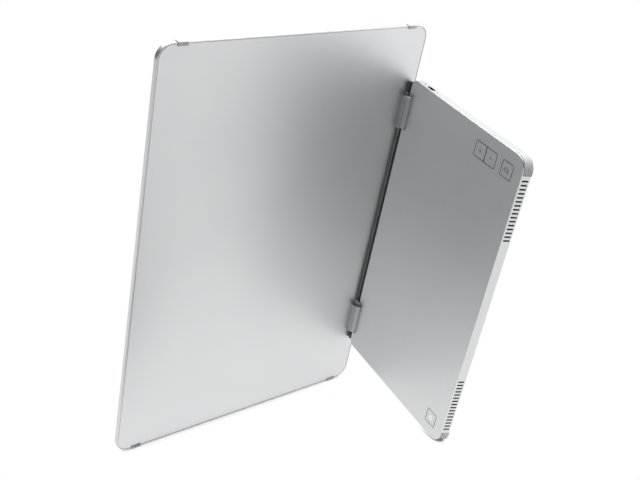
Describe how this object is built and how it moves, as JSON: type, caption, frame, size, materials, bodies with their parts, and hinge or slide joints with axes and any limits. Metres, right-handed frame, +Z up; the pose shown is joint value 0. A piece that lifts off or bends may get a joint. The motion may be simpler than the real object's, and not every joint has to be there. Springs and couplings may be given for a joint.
{
  "type": "portable monitor",
  "caption": "Slim portable monitor whose flat base folds out of the panel's back on two friction hinges, standing upright as an open book.",
  "frame": {"origin": "middle of the part's bounding box at floor level, standing open as in the picture on the panel's two lower feet and the base's lower far corner", "axes": "+Z up; +X across the panel's back towards the hinged edge; -Y the way the panel's back faces, from which the base stands out"},
  "size_m": [0.2512, 0.2424, 0.346],
  "materials": {
    "anodised_aluminium": "fine bead-blasted and clear anodised",
    "cover_glass": "polished, printed black from behind",
    "lcd_glass": "satin",
    "light_guide": "clear acrylic with white films",
    "circuit_board": "solder mask",
    "flat_cable": "polyimide film",
    "foot_rubber": "satin grey silicone rubber",
    "hinge_steel": "ground steel",
    "black_steel": "black coated steel",
    "screw_steel": "nickel plated",
    "black_plastic": "moulded",
    "black_mesh": "woven",
    "port_shell": "drawn stainless steel",
    "port_tongue": "moulded black",
    "switch_dome": "stamped steel",
    "light_ring": "translucent white"
  },
  "bodies": {
    "display_panel": {"mid_frame": "anodised_aluminium", "rear_cover": "anodised_aluminium", "cover_glass": "cover_glass", "lcd_cell": "lcd_glass", "backlight": "light_guide", "led_bar": "circuit_board", "timing_board": "circuit_board", "panel_cable": "flat_cable", "panel_foot_bottom_right": "foot_rubber", "panel_foot_bottom_left": "foot_rubber", "panel_foot_top_right": "foot_rubber", "panel_foot_top_left": "foot_rubber", "hinge_housing_upper": "anodised_aluminium", "hinge_housing_lower": "anodised_aluminium", "hinge_cap_upper": "anodised_aluminium", "hinge_cap_lower": "anodised_aluminium", "friction_sleeve_upper": "hinge_steel", "friction_sleeve_lower": "hinge_steel", "hinge_plate_upper": "hinge_steel", "hinge_plate_lower": "hinge_steel", "hinge_screws": "screw_steel"},
    "base": {"base_top_cover": "anodised_aluminium", "base_tray": "anodised_aluminium", "main_board": "circuit_board", "key_board": "circuit_board", "power_board": "circuit_board", "display_cable": "flat_cable", "corner_foot_upper": "foot_rubber", "corner_foot_lower": "foot_rubber", "rubber_strip": "foot_rubber", "hinge_pin_upper": "hinge_steel", "hinge_pin_lower": "hinge_steel", "port_bracket": "hinge_steel", "board_shield": "hinge_steel", "hinge_bracket_upper": "black_steel", "hinge_bracket_lower": "black_steel", "bracket_screws": "screw_steel", "base_screws": "screw_steel", "board_screws": "screw_steel", "port_screws": "screw_steel", "hinge_spine": "black_plastic", "speaker_upper": "black_plastic", "speaker_lower": "black_plastic", "vent_mesh_upper": "black_mesh", "vent_mesh_lower": "black_mesh", "usb_c_shell": "port_shell", "usb_c_tongue": "port_tongue", "dome_switches": "switch_dome", "power_switch": "switch_dome"},
    "brightness_up_key": {"brightness_up_button": "anodised_aluminium"},
    "brightness_down_key": {"brightness_down_button": "anodised_aluminium"},
    "rotate_key": {"rotate_button": "anodised_aluminium"},
    "power_key": {"power_button": "anodised_aluminium", "power_light_ring": "light_ring"}
  },
  "joints": [
    {"name": "base_hinge", "type": "hinge", "parent": "display_panel", "child": "base", "pos_m": [0.11906, 0.06203, 0.17178], "axis": [0, -0.2956, 0.9553], "range_deg": [-81, 24]},
    {"name": "brightness_up_press", "type": "slide", "parent": "base", "child": "brightness_up_key", "axis": [0.9877, -0.1494, -0.0462], "range_m": [0, 0.0004], "stiffness_N_per_m": 1500, "springref_m": -0.0003},
    {"name": "brightness_down_press", "type": "slide", "parent": "base", "child": "brightness_down_key", "axis": [0.9877, -0.1494, -0.0462], "range_m": [0, 0.0004], "stiffness_N_per_m": 1500, "springref_m": -0.0003},
    {"name": "rotate_press", "type": "slide", "parent": "base", "child": "rotate_key", "axis": [0.9877, -0.1494, -0.0462], "range_m": [0, 0.0004], "stiffness_N_per_m": 1500, "springref_m": -0.0003},
    {"name": "power_press", "type": "slide", "parent": "base", "child": "power_key", "axis": [0.9877, -0.1494, -0.0462], "range_m": [0, 0.0004], "stiffness_N_per_m": 1500, "springref_m": -0.0003}
  ]
}
